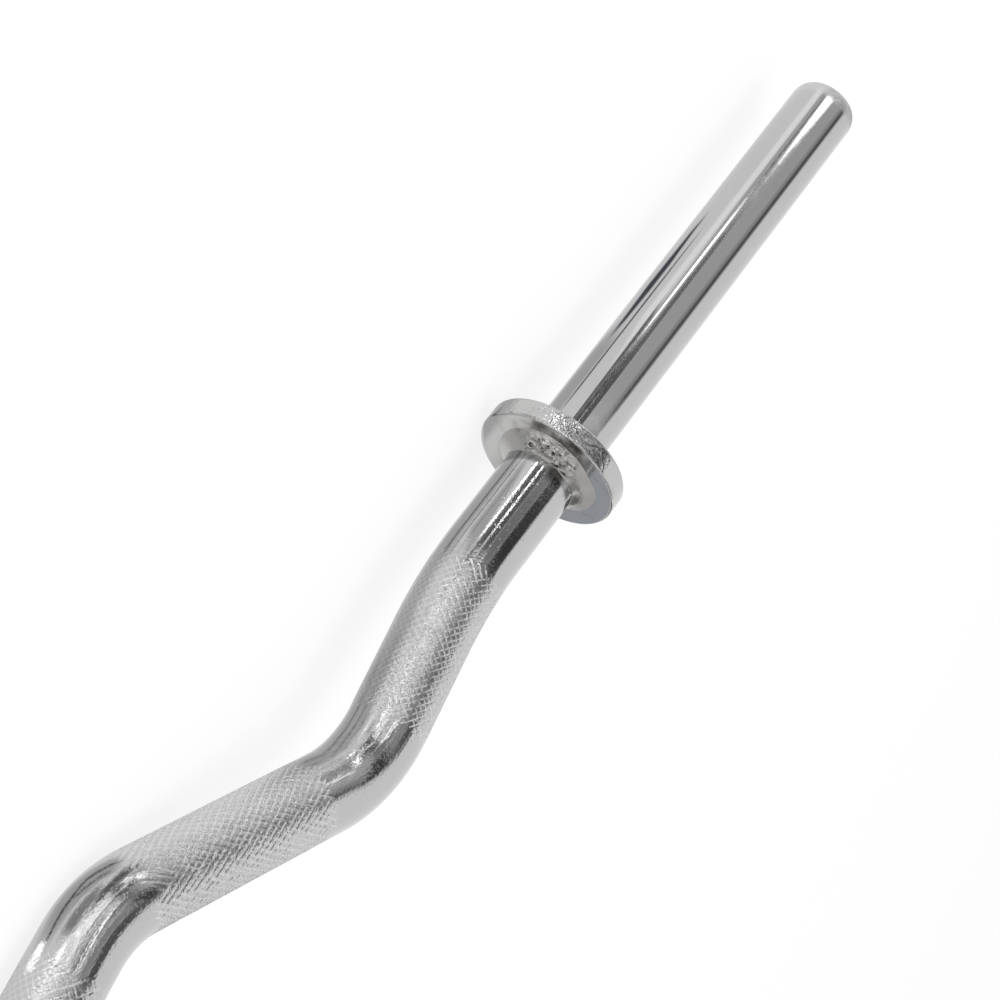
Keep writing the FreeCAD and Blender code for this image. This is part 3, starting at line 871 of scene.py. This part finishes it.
def build_floor():
    """A pale floor, white where the bar casts no shadow."""
    corners = [(x * FLOOR_HALF, y * FLOOR_HALF, 0) for x, y in ((-1, -1), (1, -1), (1, 1), (-1, 1))]
    mesh = bpy.data.meshes.new("floor")
    mesh.from_pydata(corners, [], [(0, 1, 2, 3)])
    floor = bpy.data.objects.new("floor", mesh)
    bpy.context.scene.collection.objects.link(floor)
    made, tree = new_material("pale_floor")
    link = tree.links.new
    paint = add_node(tree, "ShaderNodeBsdfDiffuse")
    paint.inputs["Color"].default_value = FLOOR_COLOUR
    glow = add_node(tree, "ShaderNodeEmission", Strength=1.0)
    share = tree.nodes.new("ShaderNodeMath")
    share.operation = "MULTIPLY"
    share.inputs[1].default_value = FLOOR_WHITE
    link(background_ray(tree), share.inputs[0])
    mix = tree.nodes.new("ShaderNodeMixShader")
    link(share.outputs["Value"], mix.inputs["Fac"])
    link(paint.outputs["BSDF"], mix.inputs[1])
    link(glow.outputs["Emission"], mix.inputs[2])
    output = tree.nodes.new("ShaderNodeOutputMaterial")
    link(mix.outputs["Shader"], output.inputs["Surface"])
    made.cycles.emission_sampling = "NONE"
    mesh.materials.append(made)


def build_world():
    """Even light from all round, white as a background."""
    world = bpy.data.worlds.new("studio")
    bpy.context.scene.world = world
    world.use_nodes = True
    tree = world.node_tree
    tree.nodes.clear()
    link = tree.links.new
    sky = add_node(tree, "ShaderNodeBackground", Color=SKY_COLOUR, Strength=1.0)
    clear = add_node(tree, "ShaderNodeBackground", Color=WHITE, Strength=1.0)
    mix = tree.nodes.new("ShaderNodeMixShader")
    link(background_ray(tree), mix.inputs["Fac"])
    link(sky.outputs["Background"], mix.inputs[1])
    link(clear.outputs["Background"], mix.inputs[2])
    output = tree.nodes.new("ShaderNodeOutputWorld")
    link(mix.outputs["Shader"], output.inputs["Surface"])


build_floor()
build_world()

# Distances of the cards from the sleeves' axis in metres: a card hides the parts of those behind it
CARD_DISTANCE = 1.2
CARD_FRONT = 1.19
STRIP_BACK = 1.15
STRIP_MIDDLE = 1.14
STRIP_FRONT = 1.13
ROOM_DISTANCE = 7.0
# Heights of the mats over the floor in millimetres: a mat hides the parts of those under it
MAT_UNDER = 0.8
MAT_HEIGHT = 1.0
MAT_OVER = 1.5
MAT_HIGH = 2.0
MAT_TOP = 2.5
# Rows of points across a card between its soft sides
CARD_ROWS = 10


def place_card(name, edges, soft, soft_ends, where, strength, colour):
    """A card with soft edges, seen only where the chrome reflects it. edges is a list of (x, low, high)."""
    rows = [(edges[0][0] - soft_ends, *edges[0][1:], 0.0)]
    rows += [(*edge, 1.0) for edge in edges]
    rows += [(edges[-1][0] + soft_ends, *edges[-1][1:], 0.0)]
    points = []
    cover = []
    for x, low, high, share in rows:
        places = [low - soft, *np.linspace(low, high, CARD_ROWS), high + soft]
        points += [where(x, place) for place in places]
        cover += [0.0] + [share] * CARD_ROWS + [0.0]
    width = CARD_ROWS + 2
    faces = []
    for row in range(len(rows) - 1):
        for index in range(width - 1):
            first = row * width + index
            faces.append((first, first + 1, first + width + 1, first + width))
    mesh = bpy.data.meshes.new(name)
    mesh.from_pydata(points, [], faces)
    mesh.attributes.new("cover", "FLOAT", "POINT").data.foreach_set("value", cover)
    mesh.materials.append(stage_material(name, colour, strength))
    card = bpy.data.objects.new(name, mesh)
    bpy.context.scene.collection.objects.link(card)
    card.visible_camera = False
    card.visible_diffuse = False
    card.visible_shadow = False


def add_card(name, edges, strength, soft=3.0, soft_ends=0.10, distance=CARD_DISTANCE, colour=(1, 1, 1)):
    """A card bent round the bar: x in metres, and angles from +Y up in degrees."""

    def where(x, angle):
        angle = math.radians(angle)
        return (x, AXIS_Y * MM + distance * math.cos(angle), AXIS_Z * MM + distance * math.sin(angle))

    place_card(name, edges, soft, soft_ends, where, strength, colour)


def add_mat(name, edges, strength, soft=6.0, soft_ends=20.0, height=MAT_HEIGHT, colour=(1, 1, 1)):
    """A mat lying just over the floor: x and y in millimetres."""

    def where(x, y):
        return (x * MM, y * MM, height * MM)

    place_card(name, edges, soft, soft_ends, where, strength, colour)


# Dark and grey mats and flags, from the floor up
DARK_NEAR_EDGE = [(190, 72), (200, 60), (250, 66), (262, 120), (280, 215), (470, 215), (490, 205), (530, 118)]
DARK_NEAR_EDGE += [(545, 118), (600, 215), (700, 370), (900, 700), (1150, 1150)]
FAR_EDGE = 1190
add_mat("mat_dark", [(x, y, FAR_EDGE) for x, y in DARK_NEAR_EDGE], 0.18, soft=14, soft_ends=12)
add_mat("streak_bend", [(298, 74, 92), (316, 74, 92)], 0.40, soft=8, soft_ends=8, height=MAT_OVER)
add_mat("mat_behind", [(150, -400, -34), (470, -400, -34)], 0.78, soft=14, soft_ends=40, height=MAT_UNDER)
add_mat("mat_middle", [(372, 30, 112), (402, 30, 112)], 0.62, soft=10, soft_ends=10)
add_mat("mat_far", [(640, 140, FAR_EDGE), (1700, 140, FAR_EDGE)], 0.60, soft=22, soft_ends=40)
add_card("flag_low", [(0.80, -3, 24), (1.19, -3, 24)], 0.15, soft=3, soft_ends=0.05)
add_card("flag_bend_low", [(0.0, -3, 24), (0.74, -3, 24)], 0.45, soft=3, soft_ends=0.06)
add_card("flag_bend_middle", [(0.0, 30, 48), (0.74, 30, 48)], 0.25, soft=4, soft_ends=0.06)
add_card("flag_bend_brown", [(0.0, 51, 63), (0.74, 51, 63)], 0.36, soft=3, soft_ends=0.06, colour=(1.0, 0.985, 0.96))
add_card("flag_bend_high", [(0.0, 70, 86), (0.74, 70, 86)], 0.12, soft=7, soft_ends=0.06)
add_card("flag_low_far", [(1.22, 13, 22), (1.34, 13, 20)], 0.22, soft=4, soft_ends=0.06, distance=CARD_FRONT)
add_card("flag_low_end", [(1.34, -2, 3), (1.50, -2, 2)], 0.22, soft=4, soft_ends=0.08, distance=CARD_FRONT)
add_card("flag_low_tip", [(1.26, -3, 26), (1.65, -3, 26)], 0.56, soft=4, soft_ends=0.05)
add_card("flag_middle_near", [(0.80, 27, 49), (1.07, 27, 49)], 0.25, soft=3, soft_ends=0.04)
add_card("flag_middle_far", [(1.14, 28, 70), (1.65, 28, 70)], 0.56, soft=4, soft_ends=0.04)
add_card("flag_high_near", [(0.80, 54, 84), (1.07, 54, 84)], 0.060, soft=6, soft_ends=0.04)
add_card("flag_high_far", [(1.14, 72, 86), (1.65, 72, 86)], 0.36, soft=9, soft_ends=0.04)
add_card("flag_high_line", [(1.14, 80, 84), (1.65, 80, 84)], 0.12, soft=6, soft_ends=0.04, distance=CARD_FRONT)
add_card("flag_side", [(1.80, -2, 88), (3.20, -2, 88)], 0.42, soft=4, soft_ends=0.08)
# Lamps' strips
edges = [(1.22, -1, 2), (1.29, -1.5, 3), (1.33, 0, 3.5)]
add_card("strip_low", edges, 5.0, soft=2.5, soft_ends=0.03, distance=STRIP_BACK)
edges = [(1.46, 13, 18), (1.50, 9, 27), (1.56, 6, 33)]
add_card("strip_tip", edges, 5.0, soft=2.5, soft_ends=0.03, distance=STRIP_BACK)
edges = [(0.80, 9.9, 10.0), (0.94, 9.9, 10.1)]
add_card("strip_middle_low", edges, 4.0, soft=0.8, soft_ends=0.04, distance=STRIP_MIDDLE)
add_card("strip_middle", [(0.98, 9.8, 10.2), (1.02, 9.6, 10.4)], 12.0, soft=1.0, soft_ends=0.04, distance=STRIP_MIDDLE)
add_card("strip_high", [(0.1, 38.6, 39.4), (0.70, 28.8, 29.6)], 6.0, soft=1.2, soft_ends=0.06, distance=STRIP_FRONT)
for number, (angle, strength) in enumerate(((3.5, 5.0), (10.0, 6.0), (21.0, 3.5), (47.0, 2.5)), 1):
    edges = [(0.0, angle, angle + 0.3), (0.70, angle - 1.0, angle - 0.7)]
    add_card("strip_thin_%d" % number, edges, strength, soft=1.0, soft_ends=0.06, distance=STRIP_FRONT)
edges = [(1.74, 45.5, 46.5), (1.9, 44, 45), (2.3, 41, 42), (2.8, 39, 40)]
add_card("strip_side", edges, 6.0, soft=1.0, soft_ends=0.08, distance=STRIP_FRONT)
add_mat("strip_floor_near", [(425, 138, 148), (476, 138, 150)], 12.0, soft=6, soft_ends=10, height=MAT_HIGH)
add_mat("strip_floor_far", [(120, 350, 450), (380, 350, 450)], 8.0, soft=40, height=MAT_HIGH)
add_mat("spot_left", [(115, 70, 130), (140, 70, 130)], 2.0, soft=12, soft_ends=8, height=MAT_HIGH)
add_mat("spot_bend", [(282, 43, 46), (292, 40, 43), (302, 35, 38)], 2.5, soft=2, soft_ends=4, height=MAT_HIGH)
add_mat("spot_bend_left", [(138, 32.5, 35.5), (145, 33.5, 37)], 2.2, soft=1.2, soft_ends=2, height=MAT_TOP)
add_mat("floor_bright", [(500, 48, 85), (720, 48, 85)], 1.28, soft=16, height=MAT_HIGH)
# Shade and narrow dark things close under the bar
edges = [(276, -24, 14), (300, -20, 14), (330, -6, 10), (455, -6, 10)]
add_mat("shade_under", edges, 0.62, soft=8, soft_ends=20, height=MAT_OVER)
add_mat("shade_bend", [(154, 34, 40), (184, 33, 44)], 0.58, soft=4, soft_ends=14, height=MAT_HIGH)
add_mat("shade_bend_front", [(154, 50, 76), (176, 50, 76)], 0.36, soft=5, soft_ends=10, height=MAT_HIGH)
edges = [(148, 36.6, 37.2), (162, 36.6, 37.2), (172, 34.8, 35.4), (188, 35.6, 36.2)]
add_mat("line_left_1", edges, 0.10, soft=0.8, soft_ends=5, height=MAT_TOP)
edges = [(166, 38.3, 38.8), (176, 39.5, 40.1), (184, 41.2, 41.9)]
add_mat("line_left_2", edges, 0.16, soft=0.8, soft_ends=3, height=MAT_TOP)
add_mat("line_far", [(350, 34.5, 35.5), (396, 34.5, 35.5)], 0.30, soft=1.6, soft_ends=10, height=MAT_HIGH)
add_mat("line_near", [(350, 17, 18), (396, 17, 18)], 0.30, soft=1.6, soft_ends=10, height=MAT_HIGH)
add_mat("line_under", [(350, 6.5, 7.5), (396, 6.5, 7.5)], 0.20, soft=1.6, soft_ends=10, height=MAT_HIGH)
for number, (x0, x1, y) in enumerate(((279, 300, -11.0), (282, 306, 2.0), (284, 312, 17.0), (286, 318, 29.0)), 1):
    edges = [(x0, y - 0.8, y + 0.8), (x1, y + 0.2, y + 1.8)]
    add_mat("line_bend_%d" % number, edges, 0.20, soft=1.6, soft_ends=8, height=MAT_TOP)
add_mat("line_sleeve", [(440, 16.5, 18), (490, 16, 18), (515, 17, 17.5)], 0.14, soft=1.8, height=MAT_HIGH)
edges = [(472, 3, 5), (490, 1, 7), (504, 2, 7), (522, 3.5, 4)]
add_mat("streak_under", edges, 0.12, soft=4.0, soft_ends=14, height=MAT_HIGH, colour=(0.8, 0.85, 1.0))
# Blue-grey cloth behind the bar, in the ring's face
add_mat("cloth_behind", [(240, -210, -95), (350, -210, -95)], 0.50, soft=30, soft_ends=30, colour=(0.92, 0.96, 1.05))
# The rest of the studio, which the bar reflects when it is seen from other sides
edges = [(-3000, 260, FAR_EDGE), (-600, 220, FAR_EDGE), (-420, 130, FAR_EDGE), (-260, 190, FAR_EDGE)]
add_mat("left_mat", edges, 0.18, soft=14, soft_ends=30)
LEFT_FLAGS = (("low", -3, 24, 0.16, 3), ("middle", 28, 48, 0.42, 4), ("high", 58, 84, 0.10, 6))
for name, low, high, strength, soft in LEFT_FLAGS:
    add_card("left_" + name, [(-7.0, low, high), (-0.45, low, high)], strength, soft=soft, soft_ends=0.1)
add_card("left_strip", [(-7.0, 9.8, 10.2), (-0.45, 9.8, 10.2)], 10.0, soft=1.0, soft_ends=0.1, distance=STRIP_MIDDLE)
ROOM_FLAGS = (("low", 150, 176, 0.20, 4), ("middle", 112, 138, 0.45, 5), ("strip", 143, 145, 3.0, 1.5))
for name, low, high, strength, soft in ROOM_FLAGS:
    edges = [(-12.0, low, high), (0.2, low, high)]
    add_card("room_" + name, edges, strength, soft=soft, soft_ends=0.2, distance=ROOM_DISTANCE)
for name, low, high, strength in (("low", 150, 176, 0.45), ("middle", 112, 138, 0.60)):
    edges = [(7.0, low, high), (14.0, low, high)]
    add_card("room_end_" + name, edges, strength, soft=5, soft_ends=0.5, distance=ROOM_DISTANCE)

# A wide soft lamp from above, which throws the bar's shadow
LAMP_SIZE = 2.0
LAMP_POWER = 25.0
LAMP_PLACE = Vector((0.4, 1.0, 2.6))
LAMP_AIM = Vector((0.2, 0, 0))
key = bpy.data.lights.new("key", "AREA")
key.shape = "DISK"
key.size = LAMP_SIZE
key.energy = LAMP_POWER
lamp = bpy.data.objects.new("key", key)
lamp.location = LAMP_PLACE
lamp.rotation_mode = "QUATERNION"
lamp.rotation_quaternion = (LAMP_AIM - LAMP_PLACE).to_track_quat("-Z", "Y")
lamp.visible_camera = False
lamp.visible_glossy = False
bpy.context.scene.collection.objects.link(lamp)

# Camera, fitted to the bar's outline in the photograph
CAMERA_LENS = 93.6
CAMERA_PLACE = Vector((-0.048648, 0.739220, 0.318153))
CAMERA_RIGHT = Vector((0.541321, -0.026741, 0.840390))
CAMERA_UP = Vector((0.699352, 0.569183, -0.432363))
camera_data = bpy.data.cameras.new("camera")
camera_data.sensor_width = 36.0
camera_data.lens = CAMERA_LENS
camera_data.clip_start = 0.01
camera_data.clip_end = 100.0
camera = bpy.data.objects.new("camera", camera_data)
right = CAMERA_RIGHT.normalized()
back = right.cross(CAMERA_UP.normalized()).normalized()
turn = Matrix((right, back.cross(right), back)).transposed()
camera.matrix_world = Matrix.Translation(CAMERA_PLACE) @ turn.to_4x4()
bpy.context.scene.collection.objects.link(camera)
bpy.context.scene.camera = camera
bpy.context.scene.view_settings.view_transform = "Standard"
